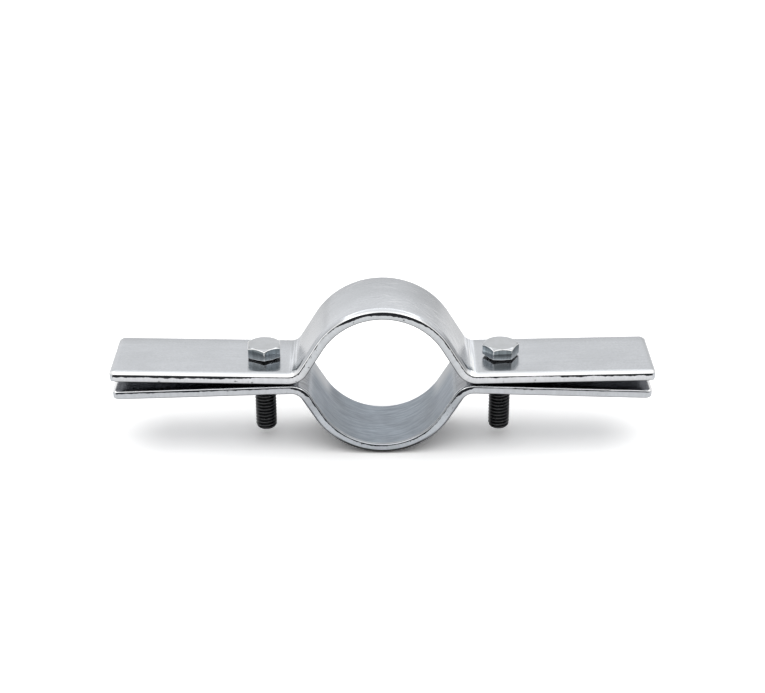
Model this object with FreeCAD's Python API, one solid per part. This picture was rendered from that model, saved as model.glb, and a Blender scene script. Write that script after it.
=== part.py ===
"""Pipe riser clamp: two bowed straps drawn together round a pipe by two hexagon-head bolts.

Sizes are in millimetres. The origin is the centre of the pipe bore, halfway along it.
+X runs along the ears, +Y along the pipe and +Z up, towards the bolt heads.
"""
import FreeCAD
import Part
import math
import os

from FreeCAD import Vector

# Pipe seat
pipe_diameter = 60.3
seat_clearance = 0.05          # between pipe and strap, on the radius

# Strap, the same bar for both halves
strap_width = 38.1
strap_thickness = 4.76
outer_roll = (2.9, 1.4)        # edges of the outer face are rolled over this far in, and this deep
lower_inner_roll = (1.4, 0.6)  # the lower strap's inner face is eased at its edges too
end_corner_radius = 2.5        # ear corners, seen from above
bend_inside_radius = 5.2       # where a leg turns into an ear
leg_lean = 31.5                # degrees between a leg and the vertical

# Ears
joint_drop = 1.0               # the plane between the ears lies this far below the bore centre
upper_knee_gap = 0.3           # from that plane to the upper strap's face, at the bend
lower_knee_gap = 0.35
upper_splay = 1.1              # degrees the upper ears rise outwards
lower_splay = 1.8              # degrees the lower ears fall outwards
bolt_setback = 16.55           # from the upper strap's knee to the bolt axis
upper_overhang = 66.7          # from the bolt axis to the end of the ear
lower_overhang = 65.8

# Bolts, 3/8 inch by 16 threads to the inch
bolt_diameter = 9.525
bolt_length = 35.4             # below the head
tip_length = 2.4               # tapered tip
tip_radius = 2.85
head_across_flats = 14.29
head_height = 5.55             # hexagon alone
head_chamfer_angle = 30.0
head_top_radius = 6.8          # flat circle on top of the head
washer_face_radius = 6.7
washer_face_height = 0.4
left_head_angle = 33.4         # degrees, turning each hexagon about its axis
right_head_angle = 3.9

# Fits
upper_hole_clearance = 0.79    # plain hole, on the radius
lower_hole_clearance = 0.05    # tapped hole, on the radius
head_seat_clearance = 0.02

# Worked out from the sizes above
bore_radius = pipe_diameter / 2 + seat_clearance
lean = math.radians(leg_lean)
leg_normal = Vector(math.cos(lean), 0, math.sin(lean))
knee_x = (bore_radius + joint_drop * math.sin(lean)) / math.cos(lean)
bolt_x = knee_x + bolt_setback
seat_axis = Vector(0, -1, 0)


def rolled_edge(width, depth):
    """Start, middle and end of a rolled edge: distances in from the side, and down from the face."""
    radius = (width ** 2 + depth ** 2) / (2 * depth)
    middle = math.asin(width / radius) / 2
    return [(width, 0), (width - radius * math.sin(middle), radius * (1 - math.cos(middle))), (0, depth)]


def side_edges(inner_roll, at):
    """Edges of one side of the bar, from its inner face to its outer. at takes a distance in and a height."""
    edges = []
    foot = 0
    if inner_roll:
        foot = inner_roll[1]
        edges.append(Part.Arc(*[at(inset, depth) for inset, depth in rolled_edge(*inner_roll)]).toShape())
    shoulder = strap_thickness - outer_roll[1]
    edges.append(Part.makeLine(at(0, foot), at(0, shoulder)))
    turned = [at(inset, strap_thickness - depth) for inset, depth in reversed(rolled_edge(*outer_roll))]
    edges.append(Part.Arc(*turned).toShape())
    return edges


def bar_section(base, normal, inner_roll):
    """Cross-section of the bar, standing on a point of its inner face."""
    half = strap_width / 2
    inner_half = half - (inner_roll[0] if inner_roll else 0)
    outer_half = half - outer_roll[0]

    def point(y, height):
        return base + normal * height + Vector(0, y, 0)

    right = side_edges(inner_roll, lambda inset, height: point(half - inset, height))
    left = side_edges(inner_roll, lambda inset, height: point(inset - half, height))
    outer_face = Part.makeLine(point(outer_half, strap_thickness), point(-outer_half, strap_thickness))
    inner_face = Part.makeLine(point(-inner_half, 0), point(inner_half, 0))
    return Part.Face(Part.Wire(Part.sortEdges(right + [outer_face] + left + [inner_face])[0]))


def end_profile(length, inner_roll):
    """Side view of an ear, with the rolled edge at its end."""
    inner_length = length - (inner_roll[0] if inner_roll else 0)
    end = side_edges(inner_roll, lambda inset, height: Vector(length - inset, 0, height))
    back = [
        Part.makeLine(Vector(length - outer_roll[0], 0, strap_thickness), Vector(0, 0, strap_thickness)),
        Part.makeLine(Vector(0, 0, strap_thickness), Vector(0, 0, 0)),
        Part.makeLine(Vector(0, 0, 0), Vector(inner_length, 0, 0)),
    ]
    return Part.Face(Part.Wire(Part.sortEdges(end + back)[0]))


def ear(length, inner_roll):
    """Flat ear along +X from the origin, its inner face down, square to its bend and rounded at its end."""
    bar = bar_section(Vector(0, 0, 0), Vector(0, 0, 1), inner_roll).extrude(Vector(length, 0, 0))
    profile = end_profile(length, inner_roll)
    profile.translate(Vector(0, -strap_width / 2, 0))
    rolled_end = profile.extrude(Vector(0, strap_width, 0))
    plan = Part.makeBox(length, strap_width, strap_thickness, Vector(0, -strap_width / 2, 0))
    corners = [edge for edge in plan.Edges
               if abs(edge.Curve.Direction.z) > 0.5 and edge.CenterOfMass.x > length / 2]
    plan = plan.makeFillet(end_corner_radius, corners)
    return bar.common(rolled_end).common(plan)


def strap(knee_height, splay, half_length, inner_roll):
    """Strap bowed upwards round the bore, whose ears' inner faces start from a knee at the given height."""
    slope = math.radians(splay)
    along_ear = Vector(math.cos(slope), 0, math.sin(slope))
    ear_normal = Vector(-math.sin(slope), 0, math.cos(slope))
    outside_radius = bend_inside_radius + strap_thickness

    # The inner face of a leg lies at the bore radius along the leg's normal, and the ear's passes the knee.
    knee = Vector((bore_radius - knee_height * math.sin(lean)) / math.cos(lean), 0, knee_height)
    half_turn = (math.pi / 2 - lean + slope) / 2
    tangent_length = outside_radius * math.tan(half_turn)
    along_leg = Vector(math.sin(lean), 0, -math.cos(lean))
    leg_start = leg_normal * bore_radius
    leg_end = knee - along_leg * tangent_length
    ear_start = knee + along_ear * tangent_length
    bend_centre = leg_end + leg_normal * outside_radius

    bow = bar_section(leg_start, leg_normal, inner_roll)
    bow = bow.revolve(Vector(0, 0, 0), seat_axis, 180 - 2 * leg_lean)
    leg = bar_section(leg_start, leg_normal, inner_roll).extrude(leg_end - leg_start)
    bend = bar_section(leg_end, leg_normal, inner_roll)
    bend = bend.revolve(bend_centre, seat_axis, math.degrees(2 * half_turn))
    flat = ear((half_length - ear_start.x) / math.cos(slope), inner_roll)
    flat.Placement = FreeCAD.Placement(ear_start, FreeCAD.Rotation(seat_axis, splay))

    side = [leg, bend, flat]
    other_side = [piece.mirror(Vector(0, 0, 0), Vector(1, 0, 0)) for piece in side]
    return bow.multiFuse(side + other_side).removeSplitter()


def drill(body, radius):
    """Bolt holes square to the joint plane, one through each ear."""
    reach = 4 * strap_thickness + joint_drop
    for x in (-bolt_x, bolt_x):
        body = body.cut(Part.makeCylinder(radius, 2 * reach, Vector(x, 0, -reach)))
    return body


def hexagon_head(angle):
    """Head standing on z = 0, with its washer face below and its corners chamfered on top."""
    corner_radius = head_across_flats / math.sqrt(3)
    outline = [Vector(corner_radius * math.cos(math.radians(60 * step + angle)),
                      corner_radius * math.sin(math.radians(60 * step + angle)), washer_face_height)
               for step in range(7)]
    hexagon = Part.Face(Part.makePolygon(outline)).extrude(Vector(0, 0, head_height))
    top = washer_face_height + head_height
    chamfer_drop = (corner_radius - head_top_radius) * math.tan(math.radians(head_chamfer_angle))
    envelope = Part.makeCone(corner_radius, head_top_radius, chamfer_drop, Vector(0, 0, top - chamfer_drop))
    envelope = envelope.fuse(Part.makeCylinder(corner_radius, top - chamfer_drop))
    washer_face = Part.makeCylinder(washer_face_radius, washer_face_height)
    return hexagon.common(envelope).fuse(washer_face)


def bolt(x, seat_height, angle):
    """Bolt with its head seated at the given height; the shank is drawn at the thread's outside diameter."""
    radius = bolt_diameter / 2
    shank = Part.makeCylinder(radius, bolt_length - tip_length, Vector(0, 0, tip_length - bolt_length))
    tip = Part.makeCone(tip_radius, radius, tip_length, Vector(0, 0, -bolt_length))
    whole = hexagon_head(angle).multiFuse([shank, tip]).removeSplitter()
    whole.translate(Vector(x, 0, seat_height))
    return whole


def ear_top(x):
    """Height of the upper ear's outer face at a distance from the bore centre."""
    slope = math.radians(upper_splay)
    knee_height = upper_knee_gap - joint_drop
    knee = (bore_radius - knee_height * math.sin(lean)) / math.cos(lean)
    return knee_height + (x - knee) * math.tan(slope) + strap_thickness / math.cos(slope)


upper_strap = strap(upper_knee_gap - joint_drop, upper_splay, bolt_x + upper_overhang, None)
upper_strap = drill(upper_strap, bolt_diameter / 2 + upper_hole_clearance)

# The lower strap is the same form turned over about the pipe's axis, with its inner edges eased as well.
lower_strap = strap(lower_knee_gap + joint_drop, lower_splay, bolt_x + lower_overhang, lower_inner_roll)
lower_strap.rotate(Vector(0, 0, 0), Vector(0, 1, 0), 180)
lower_strap = drill(lower_strap, bolt_diameter / 2 + lower_hole_clearance)

# A head rests on the rising ear at the outer edge of its washer face.
head_seat = ear_top(bolt_x + washer_face_radius) + head_seat_clearance

pieces = {
    "upper_strap": upper_strap,
    "lower_strap": lower_strap,
    "left_bolt": bolt(-bolt_x, head_seat, left_head_angle),
    "right_bolt": bolt(bolt_x, head_seat, right_head_angle),
}

os.makedirs("parts", exist_ok=True)
for name, shape in pieces.items():
    print(name, "solids", len(shape.Solids), "valid", shape.isValid(), "volume", round(shape.Volume, 1))
    shape.exportStep("parts/" + name + ".step")
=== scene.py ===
# %% [markdown]
# # A pipe riser clamp
#
# Two bowed steel straps are drawn together round a pipe by two hexagon-head bolts, and the long ears rest
# on the floor slab that the pipe passes through. The solid model is already packed as a frame. This script
# dresses it: the straps are pressed from flat bar as in the factory, the bolts get their threads, and zinc
# plate gets its grain, its sheared edges and its wear.

# %% Load the frame
import math
from types import SimpleNamespace

import bmesh
import bpy
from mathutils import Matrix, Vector


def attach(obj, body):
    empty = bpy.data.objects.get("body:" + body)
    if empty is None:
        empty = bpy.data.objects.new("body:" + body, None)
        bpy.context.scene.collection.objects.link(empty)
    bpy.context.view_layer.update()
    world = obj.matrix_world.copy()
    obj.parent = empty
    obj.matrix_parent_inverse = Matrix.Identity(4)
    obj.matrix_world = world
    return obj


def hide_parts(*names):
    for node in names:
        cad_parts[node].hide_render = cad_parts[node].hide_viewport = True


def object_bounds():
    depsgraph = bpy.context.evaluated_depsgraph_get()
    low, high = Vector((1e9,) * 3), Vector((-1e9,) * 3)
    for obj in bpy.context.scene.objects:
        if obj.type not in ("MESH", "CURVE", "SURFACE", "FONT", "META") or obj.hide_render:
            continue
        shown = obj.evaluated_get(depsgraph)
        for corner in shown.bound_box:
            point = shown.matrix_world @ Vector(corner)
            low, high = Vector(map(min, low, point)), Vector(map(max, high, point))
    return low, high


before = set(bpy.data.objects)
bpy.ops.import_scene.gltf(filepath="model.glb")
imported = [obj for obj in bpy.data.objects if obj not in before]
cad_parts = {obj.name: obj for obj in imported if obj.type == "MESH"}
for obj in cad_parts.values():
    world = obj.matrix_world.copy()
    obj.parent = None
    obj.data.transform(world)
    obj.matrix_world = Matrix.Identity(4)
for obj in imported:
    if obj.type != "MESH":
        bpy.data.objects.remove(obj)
cad_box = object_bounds()
print("nodes:", ", ".join(sorted(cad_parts)))

# %% [markdown]
# ## Sizes
#
# A pressed part is described by its flat bar and its bends, so those are the sizes here. They are the same
# ones as the solid model's, in millimetres. Blender works in metres, and each mesh is scaled once, when its
# points are made.

# %% Sizes of the bar and its bends, in millimetres
mm = 0.001
bore_radius = 30.2
bar_width = 38.1
bar_thickness = 4.76
bend_inside_radius = 5.2
end_corner_radius = 2.5
leg_lean = math.radians(31.5)
bolt_x = 52.58                 # from the middle of the bar to each bolt
outer_edge = (2.9, 1.4)        # the outer face's roll: how far in it starts, and how deep it ends

# Each strap: the knee's height above the bore centre, the ears' splay, half its length, the edge of its
# inner face, the face beside which the side tore, and its bolt holes with the rounding of their rims.
upper_form = {"knee": -0.7, "splay": math.radians(1.1), "half": 119.28, "inner_edge": (0.16, 0.16),
              "torn_at": "outer", "hole_radius": 5.55, "hole_break": 0.2}
lower_form = {"knee": 1.35, "splay": math.radians(1.8), "half": 118.38, "inner_edge": (1.4, 0.6),
              "torn_at": "inner", "hole_radius": 4.8125, "hole_break": 0.35}


def developed(form):
    """Lengths of bow, leg, bend and ear along the inner face of half a strap, and where its ear starts."""
    outside_radius = bend_inside_radius + bar_thickness
    knee_x = (bore_radius - form["knee"] * math.sin(leg_lean)) / math.cos(leg_lean)
    turn = math.pi / 2 - leg_lean + form["splay"]
    tangent = outside_radius * math.tan(turn / 2)
    bow = bore_radius * (math.pi / 2 - leg_lean)
    leg_x = bore_radius * math.cos(leg_lean)
    leg = (knee_x - leg_x) / math.sin(leg_lean) - tangent
    ear_x = knee_x + tangent * math.cos(form["splay"])
    ear = (form["half"] - ear_x) / math.cos(form["splay"])
    return {"bow": bow, "leg": leg, "bend": outside_radius * turn, "ear": ear, "ear_x": ear_x,
            "radius": outside_radius}


for name, form in (("upper", upper_form), ("lower", lower_form)):
    lengths = developed(form)
    print(name, "half blank:", {key: round(value, 2) for key, value in lengths.items()})

# %% [markdown]
# ## Camera
#
# The photograph was taken from straight in front with a long lens, looking down at about 26 degrees. A
# camera is placed at that distance and tilt, and shifted a little so that the clamp sits where it does in
# the picture.

# %% Camera
camera_distance = 0.760
camera_tilt = math.radians(25.7)
camera_turn = math.radians(-0.15)
focal_pixels = 1701.0
picture_width = 765.0
shift_pixels = (0.1, 19.7)
aim = Vector((0, 0, -0.001))

camera_data = bpy.data.cameras.new("photo_camera")
camera = bpy.data.objects.new("photo_camera", camera_data)
bpy.context.scene.collection.objects.link(camera)
camera.location = aim + camera_distance * Vector((0, -math.cos(camera_tilt), math.sin(camera_tilt)))
camera.rotation_mode = "ZYX"
camera.rotation_euler = (math.pi / 2 - camera_tilt, 0, camera_turn)
camera_data.lens = focal_pixels / picture_width * camera_data.sensor_width
camera_data.shift_x = shift_pixels[0] / picture_width
camera_data.shift_y = shift_pixels[1] / picture_width
camera_data.clip_start = 0.01
bpy.context.scene.camera = camera
print("lens", round(camera_data.lens, 2), "mm")

# %% [markdown]
# ## Sums made of nodes
#
# World, floor, press, thread and zinc are all node trees that work with numbers. A tree drawn by hand needs
# a node and two links for each sum, and a script that says so is hard to read. So a number that nodes work
# out is wrapped here as a value with ordinary arithmetic, and each sum or product adds its own Math node.

# %% A value to calculate with
class Value:
    """What a socket gives. Arithmetic on it adds Math nodes to the socket's tree."""

    def __init__(self, socket):
        self.socket = socket
        self.tree = socket.id_data

    def __add__(self, other):
        return calc("ADD", self, other)

    def __radd__(self, other):
        return calc("ADD", other, self)

    def __sub__(self, other):
        return calc("SUBTRACT", self, other)

    def __rsub__(self, other):
        return calc("SUBTRACT", other, self)

    def __mul__(self, other):
        return calc("MULTIPLY", self, other)

    def __rmul__(self, other):
        return calc("MULTIPLY", other, self)

    def __truediv__(self, other):
        return calc("DIVIDE", self, other)

    def __abs__(self):
        return calc("ABSOLUTE", self)


# %% Nodes made from values
def feed(socket, value):
    """Gives an input a number, a colour, a vector, or a value that other nodes work out."""
    if isinstance(value, Value):
        value.tree.links.new(value.socket, socket)
    elif socket.type == "RGBA" and isinstance(value, tuple):
        socket.default_value = (*value, 1)
    else:
        socket.default_value = value


def add_node(tree, kind, inputs=None, **settings):
    """A new node with its settings and its inputs given."""
    node = tree.nodes.new(kind)
    for name, setting in settings.items():
        setattr(node, name, setting)
    for name, value in (inputs or {}).items():
        feed(node.inputs[name], value)
    return node


def outputs(node):
    """A node's outputs as values, by name."""
    return {socket.name: Value(socket) for socket in node.outputs}


def calc(operation, *values):
    """A Math node. Its inputs are numbers and at least one value."""
    tree = next(value.tree for value in values if isinstance(value, Value))
    return Value(add_node(tree, "ShaderNodeMath", dict(enumerate(values)), operation=operation).outputs[0])


# %% Sums that come up often
def larger(first, second):
    """The larger of two values."""
    return calc("MAXIMUM", first, second)


def smaller(first, second):
    """The smaller of two values."""
    return calc("MINIMUM", first, second)


def clamped(value):
    """A sum whose result is kept between 0 and 1."""
    value.socket.node.use_clamp = True
    return value


def opposite(mask):
    """One minus a mask."""
    return 1.0 - mask


def split(vector):
    """The three parts of a vector."""
    node = add_node(vector.tree, "ShaderNodeSeparateXYZ", {0: vector})
    return [Value(socket) for socket in node.outputs]


def ramp(value, start, end, low=0.0, high=1.0, smooth=True):
    """Runs from low to high while the value goes from start to end."""
    node = add_node(value.tree, "ShaderNodeMapRange", {
        "Value": value, "From Min": start, "From Max": end, "To Min": low, "To Max": high},
        interpolation_type="SMOOTHSTEP" if smooth else "LINEAR")
    return Value(node.outputs["Result"])


def ramp_mm(value, start, end, low=0.0, high=1.0, smooth=True):
    """A ramp whose start and end are in millimetres."""
    return ramp(value, start * mm, end * mm, low, high, smooth)


# %% [markdown]
# ## Sky, lamp and floor
#
# Bright metal shows what stands round it. The picture's soft shadow straight below the clamp says that the
# light comes from all over the ceiling, and the white background is a white sweep. So the world is white
# all round, a wide soft lamp hangs overhead, and the side where a photographer would stand is a dim room.
# That dim side is what draws the thin dark lines along the edges of plated steel. A lamp doesn't hide the
# sky behind it, so metal that faces straight up would reflect both. The sky is dimmed there instead.

# %% World
sky_in_metal = 0.98            # brightness of the sky in reflections
sky_on_paint = 0.72            # and on the floor's paint
room_dimness = 0.62
room_shade_on_paint = 0.2
left_side_gain = -0.4          # the left is lighter than the right
sky_behind_lamp = 0.3
eye_level = 0.22               # middle of the dim room, as the sine of its height
room_height = (0.5, 0.2)       # how far above and below that it fades out, and is full
room_sides = (0.25, 0.75)      # how squarely a direction faces the room where it starts, and is full
left_height = (0.42, 0.2)      # where the left side's light ends, and is full
lamp_edge = (0.78, 0.88)       # edge of the lamp

world = bpy.data.worlds.new("white_sweep")
bpy.context.scene.world = world
world.use_nodes = True
sky = world.node_tree
sky.nodes.clear()
direction_x, direction_y, direction_z = split(outputs(add_node(sky, "ShaderNodeTexCoord"))["Generated"])
rays = outputs(add_node(sky, "ShaderNodeLightPath"))
towards_front = ramp(direction_y * -1.0, *room_sides)
near_horizon = ramp(abs(direction_z - eye_level), *room_height)
dim_room = towards_front * near_horizon * room_dimness
from_left = direction_x * left_side_gain * ramp(direction_z, *left_height)
behind_lamp = ramp(direction_z, *lamp_edge, 1.0, sky_behind_lamp)
glossy_level = clamped(sky_in_metal + from_left - dim_room) * behind_lamp
diffuse_level = sky_on_paint - dim_room * room_shade_on_paint
in_reflection = larger(rays["Is Glossy Ray"], rays["Is Transmission Ray"])
level = glossy_level * in_reflection + diffuse_level * opposite(in_reflection)
background = add_node(sky, "ShaderNodeBackground", {
    "Color": (1, 1, 1), "Strength": larger(level, rays["Is Camera Ray"])})
sky.links.new(background.outputs[0], add_node(sky, "ShaderNodeOutputWorld").inputs["Surface"])
bpy.context.scene.view_settings.view_transform = "Standard"
print("sky in metal", sky_in_metal, "and on paint", sky_on_paint)


# %% Overhead lamp
def soft_lamp(name, place, target, size, watts):
    """A square area lamp that faces a point."""
    lamp = bpy.data.lights.new(name, "AREA")
    lamp.shape = "SQUARE"
    lamp.size = size
    lamp.energy = watts
    holder = bpy.data.objects.new(name, lamp)
    bpy.context.scene.collection.objects.link(holder)
    holder.location = place
    holder.rotation_euler = (Vector(target) - Vector(place)).to_track_quat("-Z", "Y").to_euler()
    return holder


lamp_size = 1.7
lamp_watts = 9.5
lamp_place = (0, -0.15, 1.0)
lamp = soft_lamp("overhead_lamp", lamp_place, (0, -0.15, 0), lamp_size, lamp_watts)
print("lamp", lamp_size, "m wide,", round(lamp.location.z - cad_box[0].z, 2), "m above the floor")

# %% [markdown]
# The floor is part of the same white sweep. To the camera its paint is lighter than white paint can be, so
# that it joins the background near the clamp, and far away it glows a little, so that no horizon shows in a
# low view. Other rays meet ordinary white paint, because the clamp's reflections and shadow need it.

# %% Floor
floor_height = cad_box[0].z
floor_reach = 6.0
paint_tone = 0.93
camera_gain = 0.34
far_glow = 0.3
glow_starts, glow_full = 0.7, 2.0      # metres from the clamp

floor_mesh = bpy.data.meshes.new("floor")
floor_corners = [(x * floor_reach, y * floor_reach, floor_height)
                 for x, y in ((-1, -1), (1, -1), (1, 1), (-1, 1))]
floor_mesh.from_pydata(floor_corners, [], [(0, 1, 2, 3)])
floor = bpy.data.objects.new("floor", floor_mesh)
bpy.context.scene.collection.objects.link(floor)
floor_paint = bpy.data.materials.new("pale_floor")
floor_paint.use_nodes = True
paint = floor_paint.node_tree
from_camera = outputs(add_node(paint, "ShaderNodeLightPath"))["Is Camera Ray"]
floor_place = outputs(add_node(paint, "ShaderNodeTexCoord"))["Object"]
floor_distance = Value(add_node(paint, "ShaderNodeVectorMath", {0: floor_place}, operation="LENGTH")
                       .outputs["Value"])
floor_shader = paint.nodes["Principled BSDF"]
feed(floor_shader.inputs["Base Color"], paint_tone + from_camera * camera_gain)
glow = ramp(floor_distance, glow_starts, glow_full, 0.0, far_glow)
feed(floor_shader.inputs["Emission Strength"], glow * from_camera)
feed(floor_shader.inputs["Roughness"], 1.0)
feed(floor_shader.inputs["Specular IOR Level"], 0.0)
floor_mesh.materials.append(floor_paint)
print("floor at", round(floor_height * 1000, 2), "mm")

# %% [markdown]
# ## The flat bar
#
# Each strap starts as a length of flat bar. Shearing rolls the edges of one face over, tears the side face
# below a sharp line, and leaves the corners round. A box with a bevel has none of that, and a bevel can't
# give a wide roll on one face and a tight edge on the other. So the bar is a grid whose rows and columns
# crowd together at the outline, and each point's height comes from its distance to that outline. The grid
# opens round each bolt hole, where a square of quads closes in on a circle.

# %% Profile of the bar's edge
edge_patch = 3.3               # width of the crowded strip round the outline
shoulder = bar_thickness - outer_edge[1]
groove = ((0.05, 0.05), (0.1, 0.14), (0.1, 0.26), (0.03, 0.38), (0.0, 0.5))


def edge_height(edge, inset):
    """How far a rolled edge lies below its face at a distance in from the side."""
    width, depth = edge
    radius = (width ** 2 + depth ** 2) / (2 * depth)
    reach_in = max(width - inset, 0.0)
    return radius - math.sqrt(radius ** 2 - reach_in ** 2)


def edge_stations(edge):
    """Distances in from the side at which the face has a line of points."""
    shares = (0.0, 0.05, 0.14, 0.28, 0.44, 0.62, 0.8, 1.0)
    return [edge[0] * share for share in shares] + [edge_patch]


def side_steps(form):
    """Points down the side of the bar: how far in, and how high. The groove is where the steel tore."""
    foot = form["inner_edge"][1]
    if form["torn_at"] == "outer":
        return [(inset, shoulder - drop) for inset, drop in groove + ((0.0, 1.0), (0.0, 1.7), (0.0, 2.6))]
    rise = [(inset, foot + drop) for inset, drop in reversed(groove)]
    return [(0.0, shoulder - drop) for drop in (0.1, 0.5, 1.1, 1.7)] + rise


print("outer edge drops", [round(edge_height(outer_edge, inset), 2) for inset in edge_stations(outer_edge)])

# %% [markdown]
# A bend needs close rows and a flat ear doesn't, so the rows along the bar are spaced by what the bar does
# there: one for each millimetre of the bow, closer in the bends, wider along the legs and ears.

# %% Rows along the bar, columns across it
hole_patch = 8.0               # half the square of quads round a bolt hole
hole_pitch = 1.6
inner_half = bar_width / 2 - edge_patch


def spread(start, end, step):
    """Evenly spaced numbers from start to just short of end, no further apart than step."""
    count = max(1, math.ceil(abs(end - start) / step - 1e-6))
    return [start + (end - start) * index / count for index in range(count)]


def bar_rows(lengths):
    """Positions along half the bar, up to the edge patch at its end, and the rows round the bolt hole."""
    bend_start = lengths["bow"] + lengths["leg"]
    ear_start = bend_start + lengths["bend"]
    hole = ear_start + bolt_x - lengths["ear_x"]
    end = ear_start + lengths["ear"] - edge_patch
    rows = []
    for start, stop, step in ((0, lengths["bow"], 1.0), (lengths["bow"], bend_start, 1.6),
                              (bend_start, ear_start, 0.6), (ear_start, hole - hole_patch, 1.5),
                              (hole - hole_patch, hole + hole_patch, hole_pitch),
                              (hole + hole_patch, end, 2.0)):
        rows += spread(start, stop, step)
    return rows, hole, end + edge_patch


half_columns = spread(0, hole_patch, hole_pitch) + spread(hole_patch, inner_half, 1.8)
print("columns across the bar:", 2 * len(half_columns) - 1 + 2 * len(edge_stations(outer_edge)))

# %% [markdown]
# Seen from above, the bar is a rectangle with rounded corners. Near a corner the grid's rows and columns
# form square rings, and each ring is bent into a rounded one, so that the rolled edge runs round the corner
# without a seam.

# %% The bar's plan
def mirrored(values):
    """A list of positive numbers from zero, with its mirror image in front."""
    return [-value for value in reversed(values[1:])] + list(values)


def with_edges(inside, half, edge):
    """Inside positions and edge stations, each as (sign, position, distance in from the side)."""
    stations = edge_stations(edge)
    low = [(-1, -(half - inset), inset) for inset in stations]
    high = [(1, half - inset, inset) for inset in reversed(stations)]
    return low + [(0, value, None) for value in inside] + high


def plan_point(row, column, half_length, inset=0.0):
    """A point of the bar's plan. In the corners, square rings of points are turned into rounded ones."""
    along, across = row[1], column[1]
    if row[2] == 0.0:
        along -= row[0] * inset
    if column[2] == 0.0:
        across -= column[0] * inset
    if row[2] is None or column[2] is None:
        return along, across
    shrink = (edge_patch - inset) / edge_patch
    u = (edge_patch - row[2]) * shrink
    v = (edge_patch - column[2]) * shrink
    ring, other = max(u, v), min(u, v)
    corner = end_corner_radius * ring / edge_patch
    straight = ring - corner
    if other > straight and corner > 0:
        angle = math.pi / 4 * (other - straight) / corner
        ring, other = straight + corner * math.cos(angle), straight + corner * math.sin(angle)
    u, v = (ring, other) if u >= v else (other, ring)
    centre_along = half_length - edge_patch
    centre_across = bar_width / 2 - edge_patch
    return row[0] * (centre_along + u), column[0] * (centre_across + v)


# %% [markdown]
# The bolt holes stand square to the joint, and the ears slope by a degree or two, so each hole leans in its
# ear. A hole cut through a finished mesh leaves long thin faces that shade badly. Here the grid stays open
# round it, and rings of points close in from the square to the circle.

# %% Rings round the bolt holes
widest_ring = 1.2              # beyond the hole's radius; the first ring lies midway to the square
rim_gaps = (1.0, 0.45)         # the next rings, beyond the hole's radius


def join_loops(shape, first, second):
    """Quads between two closed loops of points."""
    count = len(first)
    for index in range(count):
        following = (index + 1) % count
        shape.faces.new((first[index], first[following], second[following], second[index]))


def on_circle(offset, radius):
    """The point of a circle in the direction of an offset from its centre."""
    angle = math.atan2(offset[1], offset[0])
    return radius * math.cos(angle), radius * math.sin(angle)


def hole_ring(shape, hole, spots, height):
    """A ring of points at one height. The hole stands upright, so it drifts along the sloping ear."""
    drift = hole["side"] * height * math.tan(hole["splay"])
    return [shape.verts.new((hole["along"] + drift + along, across, height)) for along, across in spots]


def hole_face(shape, hole, square, height):
    """Rings from the square patch in to the rim of the hole. Returns the last ring and the offsets used."""
    offsets = [(point.co.x - hole["along"], point.co.y) for point in square]
    circle = [on_circle(offset, hole["radius"] + widest_ring) for offset in offsets]
    halfway = [(a[0] + (b[0] - a[0]) * 0.5, a[1] + (b[1] - a[1]) * 0.5) for a, b in zip(offsets, circle)]
    rings = [halfway]
    for gap in rim_gaps + (hole["break"],):
        rings.append([on_circle(offset, hole["radius"] + gap) for offset in offsets])
    loop = square
    for spots in rings:
        ring = hole_ring(shape, hole, spots, height)
        join_loops(shape, loop, ring)
        loop = ring
    return loop, offsets


# %% Faces of the bar
def patch_loop(hole, rows, columns):
    """Rows and columns of the square patch round a hole, and its outline as grid positions."""
    chosen = [index for index, row in enumerate(rows)
              if row[2] is None and abs(row[1] - hole["along"]) < hole_patch + 0.01]
    sides = [index for index, column in enumerate(columns)
             if column[2] is None and abs(column[1]) < hole_patch + 0.01]
    loop = [(chosen[0], side) for side in sides[:-1]]
    loop += [(row, sides[-1]) for row in chosen[:-1]]
    loop += [(chosen[-1], side) for side in reversed(sides[1:])]
    loop += [(row, sides[0]) for row in reversed(chosen[1:])]
    return chosen, sides, loop


def face_grid(shape, rows, columns, half_length, edge, height_of, holes):
    """One face of the bar: a grid of quads, open round the holes. Returns points and hole rims."""
    points = []
    for row in rows:
        line = []
        for column in columns:
            insets = [entry[2] for entry in (row, column) if entry[2] is not None]
            along, across = plan_point(row, column, half_length)
            drop = edge_height(edge, min(insets)) if insets else 0.0
            line.append(shape.verts.new((along, across, height_of(drop))))
        points.append(line)
    open_cells = set()
    squares = []
    for hole in holes:
        chosen, sides, loop = patch_loop(hole, rows, columns)
        squares.append([points[row][side] for row, side in loop])
        open_cells.update((row, side) for row in chosen[:-1] for side in sides[:-1])
    for row in range(len(rows) - 1):
        for side in range(len(columns) - 1):
            if (row, side) not in open_cells:
                shape.faces.new((points[row][side], points[row + 1][side],
                                 points[row + 1][side + 1], points[row][side + 1]))
    rims = [hole_face(shape, hole, square, height_of(0.0)) for hole, square in zip(holes, squares)]
    return points, rims


def boundary(points):
    """The outline of a grid of points as one closed loop."""
    last_row, last_column = len(points) - 1, len(points[0]) - 1
    loop = [(0, column) for column in range(last_column)]
    loop += [(row, last_column) for row in range(last_row)]
    loop += [(last_row, column) for column in range(last_column, 0, -1)]
    loop += [(row, 0) for row in range(last_row, 0, -1)]
    return loop


# %% [markdown]
# Both faces are the same grid, each with its own edge. A strip of quads joins their outlines as the sheared
# side, and the walls of the holes join their rims, so the blank is closed everywhere.

# %% The whole blank
def new_piece(name, shape):
    """An object made of a bmesh in millimetres, which is freed."""
    for point in shape.verts:
        point.co *= mm
    mesh = bpy.data.meshes.new(name)
    shape.to_mesh(mesh)
    shape.free()
    piece = bpy.data.objects.new(name, mesh)
    bpy.context.scene.collection.objects.link(piece)
    return piece


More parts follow.
